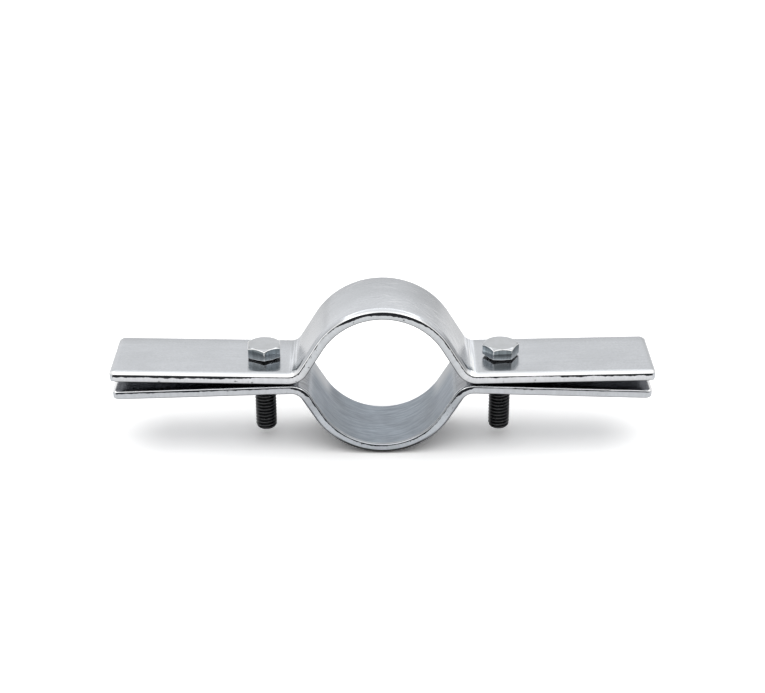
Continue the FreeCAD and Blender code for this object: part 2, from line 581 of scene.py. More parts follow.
def describe(piece):
    """Prints a piece's faces, volume and open edges."""
    shape = bmesh.new()
    shape.from_mesh(piece.data)
    open_edges = sum(1 for edge in shape.edges if not edge.is_manifold)
    volume = shape.calc_volume(signed=True) / mm ** 3
    print(piece.name, len(shape.faces), "faces,", round(volume), "mm3,", open_edges, "open edges")
    shape.free()


def flat_bar(name, form):
    """The blank of a strap: both faces, the sheared side between them, and the walls of its holes."""
    rows_inside, hole_along, half_length = bar_rows(developed(form))
    holes = [{"along": side * hole_along, "side": side, "splay": form["splay"],
              "radius": form["hole_radius"], "break": form["hole_break"]} for side in (-1, 1)]
    shape = bmesh.new()
    inside_rows = mirrored(rows_inside)
    inside_columns = mirrored(half_columns)

    outer_rows = with_edges(inside_rows, half_length, outer_edge)
    outer_columns = with_edges(inside_columns, bar_width / 2, outer_edge)
    outer, outer_rims = face_grid(shape, outer_rows, outer_columns, half_length, outer_edge,
                                  lambda drop: bar_thickness - drop, holes)
    inner_rows = with_edges(inside_rows, half_length, form["inner_edge"])
    inner_columns = with_edges(inside_columns, bar_width / 2, form["inner_edge"])
    inner, inner_rims = face_grid(shape, inner_rows, inner_columns, half_length, form["inner_edge"],
                                  lambda drop: drop, holes)

    outline = boundary(outer)
    loop = [outer[row][column] for row, column in outline]
    for inset, level in side_steps(form):
        ring = []
        for row, column in outline:
            along, across = plan_point(outer_rows[row], outer_columns[column], half_length, inset)
            ring.append(shape.verts.new((along, across, level)))
        join_loops(shape, loop, ring)
        loop = ring
    join_loops(shape, loop, [inner[row][column] for row, column in outline])

    for hole, (loop, offsets), (last_loop, _) in zip(holes, outer_rims, inner_rims):
        wall = [on_circle(offset, hole["radius"]) for offset in offsets]
        for height in (bar_thickness - hole["break"], bar_thickness * 0.5, hole["break"]):
            ring = hole_ring(shape, hole, wall, height)
            join_loops(shape, loop, ring)
            loop = ring
        join_loops(shape, loop, last_loop)

    bmesh.ops.recalc_face_normals(shape, faces=shape.faces)
    return new_piece(name, shape)


upper_bar = flat_bar("upper_bar", upper_form)
lower_bar = flat_bar("lower_bar", lower_form)
describe(upper_bar)
describe(lower_bar)

# %% [markdown]
# ## Pressing the bar to shape
#
# A press bends the bar without changing its section, so every point keeps its height above the inner face
# and its place across the bar, and only its place along the bar decides where it ends up. That is a rule,
# and Geometry Nodes suit it: the tree takes the lengths of bow, leg and bend as inputs, works out how far
# along each a point is, and sets its position. It also keeps the flat position as an attribute, so that
# grain and scratches follow the bar round its bends.

# %% Parts that both geometry trees share
def new_group(name, numbers, counts=()):
    """An empty geometry tree with named inputs. Returns the tree and its inputs as values."""
    tree = bpy.data.node_groups.new(name, "GeometryNodeTree")
    tree.interface.new_socket("Geometry", in_out="INPUT", socket_type="NodeSocketGeometry")
    for label in numbers:
        tree.interface.new_socket(label, in_out="INPUT", socket_type="NodeSocketFloat")
    for label in counts:
        tree.interface.new_socket(label, in_out="INPUT", socket_type="NodeSocketInt")
    tree.interface.new_socket("Material", in_out="INPUT", socket_type="NodeSocketMaterial")
    tree.interface.new_socket("Geometry", in_out="OUTPUT", socket_type="NodeSocketGeometry")
    return tree, outputs(add_node(tree, "NodeGroupInput"))


def position(tree):
    """Each point's place, as a vector."""
    return Value(add_node(tree, "GeometryNodeInputPosition").outputs[0])


def combined(x=0.0, y=0.0, z=0.0):
    """A vector made of three numbers, at least one of them a value."""
    tree = next(part.tree for part in (x, y, z) if isinstance(part, Value))
    return Value(add_node(tree, "ShaderNodeCombineXYZ", {"X": x, "Y": y, "Z": z}).outputs[0])


def geometry_step(geometry, kind, inputs=None, **settings):
    """A node that takes a geometry and gives the next one."""
    node = add_node(geometry.tree, kind, inputs, **settings)
    feed(node.inputs[0], geometry)
    return Value(node.outputs[0])


def keep_place(geometry, name):
    """Stores each point's place as a named attribute."""
    return geometry_step(geometry, "GeometryNodeStoreNamedAttribute", {
        "Name": name, "Value": position(geometry.tree)}, data_type="FLOAT_VECTOR", domain="POINT")


def finish_group(geometry, material):
    """Smooth shading, real points and the material, at the end of a tree."""
    geometry = geometry_step(geometry, "GeometryNodeSetShadeSmooth")
    geometry = geometry_step(geometry, "GeometryNodeRealizeInstances")
    geometry = geometry_step(geometry, "GeometryNodeSetMaterial", {"Material": material})
    add_node(geometry.tree, "NodeGroupOutput", {"Geometry": geometry})


# %% [markdown]
# A tree runs on a piece as a modifier. Its inputs are set before the piece is first worked out, and then
# the result is kept as a plain mesh, because the frame and the export want meshes without modifiers.

# %% Running a tree on a piece
def run_tree(piece, tree, values):
    """Adds a node tree to a piece as a modifier and sets its inputs by their identifiers."""
    modifier = piece.modifiers.new(tree.name, "NODES")
    modifier.node_group = tree
    for item in tree.interface.items_tree:
        if item.in_out == "INPUT" and item.name in values:
            modifier[item.identifier] = values[item.name]


def baked(source, name):
    """A plain mesh object of what a piece's modifiers make. The source is removed."""
    bpy.context.view_layer.update()
    graph = bpy.context.evaluated_depsgraph_get()
    mesh = bpy.data.meshes.new_from_object(source.evaluated_get(graph), preserve_all_data_layers=True,
                                           depsgraph=graph)
    mesh.name = name
    bpy.data.objects.remove(source)
    piece = bpy.data.objects.new(name, mesh)
    bpy.context.scene.collection.objects.link(piece)
    return piece


# %% The press
def press_tree():
    """A node tree that bends a flat bar into half a clamp, with the bow's top at +Z."""
    sizes = ("Bore Radius", "Bow Length", "Leg Length", "Bend Length", "Bend Radius", "Leg Lean",
             "Ear Splay", "Turned Over")
    tree, given = new_group("press_bar", sizes)
    geometry = keep_place(given["Geometry"], "bar_place")
    flat_x, across, height = split(position(tree))
    along = abs(flat_x)

    on_bow = smaller(along, given["Bow Length"])
    past_bow = larger(along - given["Bow Length"], 0.0)
    on_leg = smaller(past_bow, given["Leg Length"])
    past_leg = larger(past_bow - given["Leg Length"], 0.0)
    on_bend = smaller(past_leg, given["Bend Length"])
    on_ear = larger(past_leg - given["Bend Length"], 0.0)

    lean = given["Leg Lean"]
    bow_angle = on_bow / given["Bore Radius"]
    bend_angle = on_bend / given["Bend Radius"]
    turned = lean + bend_angle
    facing = math.pi / 2 - bow_angle + bend_angle
    sideways = (given["Bore Radius"] * calc("SINE", bow_angle)
                + on_leg * calc("SINE", lean)
                + given["Bend Radius"] * (calc("COSINE", lean) - calc("COSINE", turned))
                + on_ear * calc("COSINE", given["Ear Splay"])
                + height * calc("COSINE", facing))
    upwards = (given["Bore Radius"] * calc("COSINE", bow_angle)
               - on_leg * calc("COSINE", lean)
               + given["Bend Radius"] * (calc("SINE", lean) - calc("SINE", turned))
               + on_ear * calc("SINE", given["Ear Splay"])
               + height * calc("SINE", facing))
    bent = combined(sideways * calc("SIGN", flat_x), across, upwards)
    geometry = geometry_step(geometry, "GeometryNodeSetPosition", {"Position": bent})
    half_turn = combined(y=given["Turned Over"] * math.pi)
    geometry = geometry_step(geometry, "GeometryNodeTransform", {"Rotation": half_turn})
    finish_group(geometry, given["Material"])
    return tree


press = press_tree()
print("press_bar has", len(press.nodes), "nodes")

# %% [markdown]
# ## Bright zinc plate
#
# Zinc plate over rolled steel is a satin metal. The flat faces keep a faint grain from the mill, the rolled
# edges are polished by the shear, and below them the steel tore along a dark ragged line. The inside of the
# bow is duller, with scratches that run round it. Painting each face separately would leave seams, so one
# material does all of it: it reads where on the flat bar each point lies, and mixes a tone for each region.

# %% Building blocks of a plated metal
def new_material(name):
    """An empty Principled metal. Returns the material and its shader."""
    material = bpy.data.materials.new(name)
    material.use_nodes = True
    shader = material.node_tree.nodes["Principled BSDF"]
    shader.inputs["Metallic"].default_value = 1.0
    return material, shader


def read_place(material, name):
    """A stored position and its three parts."""
    attribute = add_node(material.node_tree, "ShaderNodeAttribute", attribute_name=name)
    place = Value(attribute.outputs["Vector"])
    return [place] + split(place)


def noise(place, scales, detail=3.0, roughness=0.55, turned=0.0):
    """A Noise Texture with grains of 1/scales metres along each axis. Its average is about 0.5."""
    mapping = add_node(place.tree, "ShaderNodeMapping", vector_type="TEXTURE", inputs={
        "Rotation": (0, 0, math.radians(turned)),
        "Scale": tuple(1 / scale for scale in scales),
        "Vector": place})
    grain = add_node(place.tree, "ShaderNodeTexNoise", {
        "Scale": 1.0, "Detail": detail, "Roughness": roughness, "Vector": Value(mapping.outputs[0])})
    return Value(grain.outputs["Fac"])


# %% Mixing colours, and relief
def blend(factor, first, second, kind="MIX"):
    """A mix of two colours. Factor and colours are given as numbers, triples or values."""
    tree = next(value.tree for value in (factor, first, second) if isinstance(value, Value))
    node = add_node(tree, "ShaderNodeMix", {"Factor": factor, "A": first, "B": second},
                    data_type="RGBA", blend_type=kind)
    return Value(node.outputs["Result"])


def shaded(colour, level):
    """A colour times a level."""
    return blend(1.0, colour, level, "MULTIPLY")


def vary(grain, low=0.0, high=1.0):
    """Spreads a noise between two levels."""
    return ramp(grain, 0.3, 0.7, low, high)


def relief(shader, height, strength, distance):
    """A Bump node under a shader."""
    bump = add_node(height.tree, "ShaderNodeBump", {
        "Strength": strength, "Distance": distance, "Height": height})
    feed(shader.inputs["Normal"], Value(bump.outputs[0]))


def narrow_band(level, low, middle, high):
    """Nothing at low and high, full at the middle, in millimetres."""
    return ramp_mm(level, low, middle) * ramp_mm(level, high, middle)


# %% Regions of the bar
def bar_regions(material, form):
    """Where a point lies on the flat bar, and how far it belongs to each region, from 0 to 1."""
    at = SimpleNamespace()
    at.place, at.x, at.y, at.height = read_place(material, "bar_place")
    lengths = developed(form)
    at.bow_end = lengths["bow"]
    at.leg_end = lengths["bow"] + lengths["leg"]
    half_length = sum(lengths[key] for key in ("bow", "leg", "bend", "ear")) * mm
    bend_middle = (at.leg_end + lengths["bend"] / 2) * mm
    at.along = abs(at.x)
    at.from_side = bar_width / 2 * mm - abs(at.y)
    at.inset = smaller(at.from_side, half_length - at.along)

    at.on_ring = ramp_mm(at.along, at.leg_end + 5, at.leg_end - 4)
    at.on_leg = ramp_mm(at.along, at.bow_end - 8, at.bow_end) * at.on_ring
    at.in_bend = ramp_mm(abs(at.along - bend_middle), 6, 3)
    at.below_roll = ramp_mm(at.height, shoulder + 0.04, shoulder - 0.02)
    at.side = at.below_roll * ramp_mm(at.inset, 0.22, 0.12)
    at.roll = opposite(at.below_roll) * ramp_mm(at.from_side, outer_edge[0] * 0.98, outer_edge[0] * 0.65)
    lip_width, lip_depth = form["inner_edge"]
    lip_depth = max(lip_depth, 0.2)
    at.inner = ramp_mm(at.height, lip_depth + 0.15, lip_depth * 0.9) * ramp_mm(at.inset, 0.02, 0.1)
    at.lip = at.inner * ramp_mm(at.inset, lip_width, lip_width * 0.6)

    at.cloud = noise(at.place, (45, 70, 45), 4.0)
    at.streak = noise(at.place, (35, 900, 35), 3.0)
    at.wrinkle = noise(at.place, (650, 40, 650), 3.0, 0.5)
    at.rounds = noise(at.place, (28, 1500, 28), 4.0, 0.65)
    at.ticks = noise(at.place, (900, 900, 160), 2.0, 0.6)
    return at


# %% [markdown]
# The outer face is a satin tone with mill grain. Painted reflection makes it a little darker at the back
# edge and lighter towards the front of the bow, as the picture's reflections are, and painted shade darkens
# its legs and the right of the bow. Fine scratches cross it in three directions, most of them on the bow
# and in one scuffed patch on its right shoulder, and the plate wrinkles across the bar where the press bent
# it, with painted light that brightens the bends, more on the right. They are drawn as stretched noises and
# not as painted lines, so no two are alike. The lower bow's underside is darkened as painted shade, so that
# it throws little light on the floor where it rests.

# %% Outer face
scratch_bright = (0.9, 0.9, 0.91)
scratch_dull = (0.22, 0.235, 0.26)


def outer_face(at, tones):
    """Satin zinc with its grain, under painted reflection and painted shade."""
    speck = noise(at.place, (1100, 2200, 1100), 2.0, 0.7)
    # Painted reflection: darker at the back edge, lighter towards the front of the bow, and painted shade
    # on its right.
    painted_light_on_ear = ramp_mm(at.y, 18.5, 9, 0.86, 1.0)
    painted_light_on_bow = ramp_mm(at.y, 18, -18, 0.79, 1.14, smooth=False) * ramp_mm(at.x, 4, 26, 1.0, 0.92)
    level = painted_light_on_ear * opposite(at.on_ring) + painted_light_on_bow * at.on_ring
    # Painted shade on the legs and, by the last factor, under the lower bow.
    level = (level * ramp(at.on_leg, 0.0, 1.0, 1.0, 0.78, smooth=False)
             * vary(at.cloud, 0.96, 1.04)
             * vary(at.streak, 0.982, 1.018)
             * ramp(speck, 0.25, 0.75, 0.94, 1.06)
             * ramp_mm(at.along, 40, 24, 1.0, tones["underside_painted_shade"]))
    return shaded(tones["face"], level)


def with_scratches(at, tones, tone):
    """Adds fine scratches, lighter and darker than the plate."""
    hair_one = noise(at.place, (90, 1900, 90), 2.0, turned=20)
    hair_two = noise(at.place, (110, 1700, 110), 2.0, turned=-34)
    hair_three = noise(at.place, (180, 2300, 180), 2.0, turned=6)
    scuffed = ramp_mm(at.x, 10, 19) * ramp_mm(at.x, 46, 34) * ramp_mm(at.y, 7, -3) * tones["scuffs"]
    at.hairs = larger(ramp(hair_one + scuffed * 0.05, 0.63, 0.7),
                      ramp(hair_two + scuffed * 0.06, 0.65, 0.71))
    dull_hairs = ramp(hair_three, 0.36, 0.29)
    worn = larger(ramp(at.cloud, 0.4, 0.6) * ramp(at.on_ring, 0.0, 1.0, 0.35, 1.0), scuffed)
    tone = blend(at.hairs * worn * (worn * 0.55), tone, scratch_bright)
    return blend(dull_hairs * (worn * 0.45), tone, scratch_dull)


def with_wrinkles_and_painted_light(at, tone):
    """Adds the wrinkles of the bends, with painted light that brightens them, more on the right."""
    # Painted light: the wrinkled bends are made lighter, up to half again on the right.
    level = ramp(at.wrinkle, 0.32, 0.68, 0.8, 1.22) * ramp_mm(at.x, -12, 12, 1.1, 1.55)
    return shaded(tone, 1.0 + at.in_bend * (level - 1.0))


# %% [markdown]
# The inside of the bow is blue-grey and duller, with streaks that run round the bore, sweeping marks across
# them, and a shadowed leg on each side that is lighter at the back. One even noise would look like brushed
# metal, so a patchy one sets how strongly the streaks show. Inside the ears the zinc is darkened as painted
# shade, which keeps the gap between them as dark as in the picture.

# %% Inner face
leg_shadow = (0.23, 0.27, 0.325)
leg_light = (0.46, 0.47, 0.485)


def inner_face(at, tones):
    """Duller zinc with streaks round the bore."""
    patches = noise(at.place, (60, 60, 60), 3.0)
    fine_rounds = noise(at.place, (160, 2600, 160), 2.0, 0.6, turned=3)
    swept = noise(at.place, (75, 620, 75), 5.0, 0.62, turned=-7)
    streaks = ramp(patches, 0.4, 0.62, 0.15, 0.6) * (at.rounds - 0.5)
    level = ((1.0 + streaks)
             * vary(swept, 0.84, 1.16)
             * vary(fine_rounds, 0.88, 1.12)
             * vary(patches, 0.9, 1.1)
             * ramp_mm(at.along, 4, 32, 1.06, 0.86))
    # Inside the ears the tone is darkened as painted shade, which keeps the gap between the ears dark.
    colour = blend(at.on_ring, tones["inner_ear_painted_shade"], tones["inner_ring"])
    colour = blend(at.on_leg * 0.6, colour, leg_shadow)
    far_leg = ramp_mm(at.along, at.bow_end - 6, at.bow_end) * ramp_mm(at.y, 2, 14) * at.on_ring
    return blend(far_leg * 0.8, shaded(colour, level), leg_light)


# %% [markdown]
# The shear polishes the edge that it rolls over, and a painted highlight makes that band near white. On the
# bow it is wide at the top, and thin on the flanks with a band of painted shade above it. The press leaves
# dark ticks where each bend starts. The side face below is even grey with nicks. The lower bow's edges are
# painted nearly black as a contact shadow where they rest on the floor, because the contact shadow in the
# picture is that dark.

# %% Rolled edge and sheared side
# A painted highlight tone for the rolled edge, and a painted shade tone for the band above it.
painted_edge_highlight_tone = (0.95, 0.955, 0.96)
band_shadow = (0.16, 0.18, 0.22)
press_mark_tone = (0.03, 0.032, 0.036)
# A painted contact shadow tone.
painted_contact_shadow_tone = (0.01, 0.0105, 0.011)


def with_rolled_edge(at, tones, tone):
    """Adds the rolled edge with its painted highlight and painted shade band, and the marks of the press.
    """
    above = at.height - shoulder * mm
    # On the ears the roll's tone holds painted light: near white on the upper strap, dark on the lower.
    roll_colour = blend(at.on_ring, tones["roll_ear_painted_light"], tones["roll_ring"])
    tone = blend(at.roll * ramp_mm(above, 1.25, 0.7), tone, roll_colour)
    at_top = ramp_mm(at.along, 24, 12)
    thin_band = opposite(at_top) * ramp_mm(above, 0.42, 0.22)
    wide_band = at_top * ramp_mm(above, 0.85, 0.25) * ramp_mm(abs(at.x - 1 * mm), 2, 9, 0.45, 1.0)
    # Painted highlight: a near-white band on the rolled edge of the bow.
    painted_edge_highlight_mask = (at.on_ring * opposite(at.below_roll) * (thin_band + wide_band)
                 * ramp_mm(at.from_side, 2.8, 2.0))
    dark_band = narrow_band(above, 0.34, 0.5, 0.75) * at.on_ring * opposite(at_top)
    tone = blend(dark_band * 0.5, tone, band_shadow)
    press_mark = (narrow_band(at.from_side, 2.1, 2.5, 2.9)
                  * narrow_band(at.along, at.leg_end - 5, at.leg_end - 1, at.leg_end + 4)
                  * ramp_mm(at.y, 0, -1) * opposite(at.below_roll) * ramp(at.ticks, 0.46, 0.54))
    tone = blend(press_mark * 0.8, tone, press_mark_tone)
    return blend(painted_edge_highlight_mask * tones["painted_edge_highlight_amount"], tone, painted_edge_highlight_tone)


def with_sheared_side(at, tones, tone):
    """Adds the side face with its nicks and foot, painted light mid-bow, and painted contact shadow."""
    nicks = noise(at.place, (420, 420, 500), 2.0, 0.5)
    foot = ramp_mm(at.height, 0.2, 2.0, 0.86, 1.0) * ramp_mm(at.height, 0.16, 0.46, 0.1, 1.0)
    # Painted light: the lower strap's side face is lighter at the middle of the bow.
    level = (foot * ramp_mm(at.along, 42, 26, 1.0, tones["painted_belly_light"])
             * ramp(at.ticks, 0.25, 0.75, 0.94, 1.05) * ramp(nicks, 0.29, 0.335, 0.3, 1.0))
    side_colour = blend(at.on_ring, tones["side_ear"], tones["side_ring"])
    tone = blend(at.side, tone, shaded(side_colour, level))
    # Painted contact shadow: the lower bow's rolled edges are nearly black where they rest.
    painted_contact_shadow = (ramp_mm(at.along, 27, 13, 0.0, tones["painted_contact_shadow"]) * ramp_mm(at.height, 2.75, 3.05)
               * ramp_mm(at.from_side, 3.6, 2.6))
    return blend(painted_contact_shadow, tone, painted_contact_shadow_tone)


# %% [markdown]
# Below the roll the steel tore along a ragged line, which is painted nearly black as a dark reflection. On
# the upper strap it runs under the outer edge, thickest at the top of the bow and near the ends of the
# ears. On the lower strap it runs beside the inner face and is thickest in the bends. Three noises of
# different grain make its width, its ragged edge and its breaks, because a line of even width looks drawn
# on.

# %% The torn line
# The torn line's tone, a painted dark reflection.
torn_line_painted_reflection_tone = (0.008, 0.009, 0.012)


def torn_line_with_painted_reflection(at, form, tones):
    """A mask of the line where the steel tore, which is painted nearly black as a dark reflection."""
    ragged = noise(at.place, (700, 700, 700), 4.0, 0.6)
    coarse = noise(at.place, (45, 45, 45), 2.0)
    breaks = noise(at.place, (260, 260, 260), 3.0, 0.6)
    if form["torn_at"] == "outer":
        below = (shoulder + 0.05) * mm - at.height
        deep = (ramp_mm(at.along, 25, 9, 0.0, 1.05 * mm)
                + ramp_mm(at.x, -66, -86, 0.0, 0.75 * mm)
                + ramp_mm(at.x, 84, 100, 0.0, 0.45 * mm)
                + opposite(at.on_ring) * (0.1 * mm))
    else:
        below = at.height - (form["inner_edge"][1] - 0.05) * mm
        deep = (at.in_bend * ramp(coarse, 0.4, 0.6, 0.5 * mm, 1.0 * mm)
                + ramp_mm(at.x, 55, 75, 0.0, 0.35 * mm)
                + ramp_mm(at.along, 32, 16, 0.0, 0.18 * mm))
    uneven = (ragged - 0.5) * (0.9 * mm) + (breaks - 0.5) * (tones["breaks"] * mm)
    thickness = ramp(coarse, 0.35, 0.65, 0.24 * mm, 0.52 * mm) + deep + uneven
    return (ramp_mm(thickness - below, -0.01, 0.07) * ramp_mm(below, 0.0, 0.05)
            * ramp_mm(at.inset, 0.3, 0.2))


# %% [markdown]
# The regions come together in one material for each strap. Roughness and a fine relief follow the same
# noises as the tones, so that a scratch catches the light where it is drawn.

# %% Zinc for the straps
def strap_zinc(name, form, tones):
    """Zinc for one strap, from a colour for each region of the bar."""
    material, shader = new_material(name)
    at = bar_regions(material, form)
    tone = with_wrinkles_and_painted_light(at, with_scratches(at, tones, outer_face(at, tones)))
    tone = blend(at.inner, tone, inner_face(at, tones))
    # The lips carry painted light: near white on the lower strap as highlights, dark on the upper ears as
    # shade.
    tone = blend(at.lip, tone, blend(at.on_ring, tones["lip_ear_painted_light"], tones["lip_ring"]))
    tone = with_rolled_edge(at, tones, tone)
    tone = with_sheared_side(at, tones, tone)
    line = torn_line_with_painted_reflection(at, form, tones)
    # The torn line's black is a painted dark reflection.
    feed(shader.inputs["Base Color"], blend(line * 0.97, tone, torn_line_painted_reflection_tone))

    rough = vary(at.cloud, 0.16, 0.23) + at.inner * ramp(at.on_ring, 0.0, 1.0, -0.07, 0.16)
    feed(shader.inputs["Roughness"], rough + line * 0.3)

    grain = at.streak * 0.12 + at.hairs * -0.25
    folds = at.in_bend * at.wrinkle * 0.8
    rings = at.inner * at.rounds * 0.9
    torn = at.side * at.ticks * 0.5
    relief(shader, grain + folds + (rings + torn), 0.35, 0.04 * mm)
    print(name, "has", len(material.node_tree.nodes), "nodes")
    return material


# The picture shows the upper strap brighter than the lower one. Some tones are painted light: the upper
# ears' roll and the lower strap's lips are near white as painted highlights, and the lower strap's rolls,
# the upper ears' lip and the inner ears are darkened as painted shade. The last six entries are amounts:
# painted light on the side face at the middle of the bow, painted contact shadow where it rests, painted
# highlight on the rolled edge, breaks in the torn line, scuffs, and painted shade on the underside of the
# bow.
bright_tones = {
    "face": (0.56, 0.578, 0.605),
    "roll_ear_painted_light": (0.88, 0.885, 0.89), "roll_ring": (0.54, 0.555, 0.575),
    "side_ear": (0.65, 0.66, 0.68), "side_ring": (0.56, 0.58, 0.6),
    "inner_ear_painted_shade": (0.34, 0.35, 0.37), "inner_ring": (0.27, 0.3, 0.33),
    "lip_ear_painted_light": (0.12, 0.12, 0.13), "lip_ring": (0.3, 0.31, 0.33),
    "painted_belly_light": 1.0, "painted_contact_shadow": 0.0, "painted_edge_highlight_amount": 1.0, "breaks": 1.5, "scuffs": 1.0, "underside_painted_shade": 1.0}
dull_tones = {
    "face": (0.5, 0.515, 0.54),
    "roll_ear_painted_light": (0.36, 0.37, 0.39), "roll_ring": (0.22, 0.23, 0.25),
    "side_ear": (0.5, 0.515, 0.54), "side_ring": (0.37, 0.39, 0.415),
    "inner_ear_painted_shade": (0.34, 0.35, 0.37), "inner_ring": (0.265, 0.298, 0.338),
    "lip_ear_painted_light": (0.9, 0.905, 0.91), "lip_ring": (0.66, 0.68, 0.7),
    "painted_belly_light": 1.45, "painted_contact_shadow": 0.97, "painted_edge_highlight_amount": 0.0, "breaks": 0.7, "scuffs": 0.0, "underside_painted_shade": 0.25}
upper_zinc = strap_zinc("upper_strap_zinc", upper_form, bright_tones)
lower_zinc = strap_zinc("lower_strap_zinc", lower_form, dull_tones)

# %% [markdown]
# Both blanks go through the same press, and the lower one is then turned over, so the halves can't differ
# by accident. Each pressed strap rides on its own body and takes the place of the solid strap.

# %% Press both straps
def press_inputs(form, turned_over, material):
    """The press tree's inputs for one strap, in metres and radians."""
    lengths = developed(form)
    return {"Bore Radius": bore_radius * mm, "Bow Length": lengths["bow"] * mm,
            "Leg Length": lengths["leg"] * mm, "Bend Length": lengths["bend"] * mm,
            "Bend Radius": lengths["radius"] * mm, "Leg Lean": leg_lean, "Ear Splay": form["splay"],
            "Turned Over": turned_over, "Material": material}


def in_mm(corner):
    """A corner of a box, rounded, in millimetres."""
    return [round(value / mm, 2) for value in corner]


for bar, form, turned_over, material, node, body in (
        (upper_bar, upper_form, 0.0, upper_zinc, "upper_strap", "upper"),
        (lower_bar, lower_form, 1.0, lower_zinc, "lower_strap", "lower")):
    run_tree(bar, press, press_inputs(form, turned_over, material))
    strap = baked(bar, "pressed_" + node)
    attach(strap, body)
    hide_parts(node)
    low = [min(point.co[axis] for point in strap.data.vertices) for axis in range(3)]
    high = [max(point.co[axis] for point in strap.data.vertices) for axis in range(3)]
    print(strap.name, "from", in_mm(low), "to", in_mm(high))

# %% [markdown]
# ## Bolt heads
#
# A hexagon head is forged and then turned on top, so its corners are cut back by a cone and the cone leaves
# a curved edge on each flat. A shallower cone chamfers the foot, above the round washer face. The head is
# built as rings of points round one axis: each ring is a circle or the rounded hexagon, and a point on the
# hexagon takes its height from a cone. Close rings at each edge give it the small radius that catches the
# light.

# %% Sizes of a bolt, in millimetres. Heights are measured from the underside of the head
head_across_flats = 14.29
head_top = 5.95
head_top_radius = 6.8
chamfer_slope = math.tan(math.radians(30))
washer_face_radius = 6.7
foot_start = 0.6
foot_slope = 0.22
shank_radius = 4.7625
bolt_length = 35.4
thread_start = 4.6
head_seat = 4.53               # above the bore centre
around = 72                    # points round the axis


# %% Rings of the head
def circle_ring(radius):
    """Points of a circle."""
    return [(radius * math.cos(2 * math.pi * step / around), radius * math.sin(2 * math.pi * step / around))
            for step in range(around)]


def hexagon_ring(inset=0.0, corner_radius=0.4):
    """Points of the head's outline, set in from it, with rounded corners."""
    flat = head_across_flats / 2 - inset
    corner = max(corner_radius - inset, 0.05)
    centre = (flat - corner) / math.cos(math.pi / 6)
    points = []
    for step in range(around):
        turn = round(step * 6 / around) * math.pi / 3
        part = step - round(step * 6 / around) * around // 6
        side = -1 if part < 0 else 1
        arc_x = centre + corner * math.cos(math.pi / 6)
        arc_y = side * corner * math.sin(math.pi / 6)
        middle_x = flat * math.cos(math.pi / 6)
        middle_y = side * flat * math.sin(math.pi / 6)
        share = max(abs(part) - 1, 0) / (around // 12 - 1)
        local_x = arc_x + (middle_x - arc_x) * share
        local_y = arc_y + (middle_y - arc_y) * share
        if part == 0:
            local_x, local_y = centre + corner, 0.0
        points.append((local_x * math.cos(turn) - local_y * math.sin(turn),
                       local_x * math.sin(turn) + local_y * math.cos(turn)))
    return points


def cone_height(point):
    """Height of the chamfer's cone over a point."""
    return head_top - max(0.0, math.hypot(*point) - head_top_radius) * chamfer_slope


def foot_height(point):
    """Height of the chamfer round the head's foot, over a point."""
    return foot_start + max(0.0, math.hypot(*point) - washer_face_radius) * foot_slope


# %% Blank of a bolt: head, washer face and neck
top_radii = (1.7, 3.4, 5.1, 6.2, 6.66)
rim_radius, rim_drop = 6.78, 0.015
cone_start_radius = 6.92
cone_end_inset = 0.26
corner_steps = ((0.12, 0.025), (0.04, 0.07), (0.0, 0.15))     # inset, and drop below the cone
flat_middle = 3.0
foot_steps = ((0.0, 0.1), (0.03, 0.02), (0.12, -0.03))        # inset, and rise above the foot's chamfer
washer_rings = ((6.76, foot_start - 0.03), (6.7, foot_start - 0.1), (6.7, 0.08), (6.62, 0.0))
neck_rings = ((5.5, 0.0), (5.0, -0.02), (4.83, -0.1),
              (shank_radius, -0.3), (shank_radius, -2.4), (shank_radius, -thread_start))


def bolt_blank(name):
    """Head and neck as a mesh, open where the thread starts."""
    rings = [[(x, y, head_top) for x, y in circle_ring(radius)] for radius in top_radii]
    rings.append([(x, y, head_top - rim_drop) for x, y in circle_ring(rim_radius)])
    for share in (0.0, 0.4, 0.8, 1.0):
        mixed = [(a[0] + (b[0] - a[0]) * share, a[1] + (b[1] - a[1]) * share)
                 for a, b in zip(circle_ring(cone_start_radius), hexagon_ring(cone_end_inset))]
        rings.append([(*point, cone_height(point)) for point in mixed])
    for inset, drop in corner_steps:
        rings.append([(*point, cone_height(point) - drop) for point in hexagon_ring(inset)])
    rings.append([(*point, flat_middle) for point in hexagon_ring()])
    for inset, rise in foot_steps:
        rings.append([(*point, foot_height(point) + rise) for point in hexagon_ring(inset)])
    for radius, height in washer_rings + neck_rings:
        rings.append([(x, y, height) for x, y in circle_ring(radius)])
    shape = bmesh.new()
    loops = [[shape.verts.new(point) for point in ring] for ring in rings]
    top = shape.verts.new((0, 0, head_top))
    for step in range(around):
        shape.faces.new((top, loops[0][step], loops[0][(step + 1) % around]))
    for first, second in zip(loops, loops[1:]):
        join_loops(shape, second, first)
    return new_piece(name, shape)


print("head", round(2 * max(math.hypot(*point) for point in hexagon_ring()), 2), "mm across corners")

# %% [markdown]
# ## Rolled threads
#
# A thread repeats by a rule, one ridge for each pitch, and a right-hand one climbs as it goes round
# anticlockwise. A bump pattern would leave the shank's outline smooth, so the ridges are real. A grid of
# points is wrapped round the shank in Geometry Nodes: its rows follow the helix, so the ridges stay clean,
# and each row's radius comes from its place in the pitch. The grid is cut off level at both ends, where its
# points run together and are merged.

# %% The thread
thread_pitch = 1.5875
thread_depth = 0.86
tip_length = 2.4
tip_radius = 2.85
rows_per_turn = 12
merge_distance = 0.000002
row_nudge = 0.0001             # of a pitch, so that rounding leaves no row in the turn before its own
crest_half, root_half = 0.06, 0.4   # shares of a pitch, from the middle of a ridge


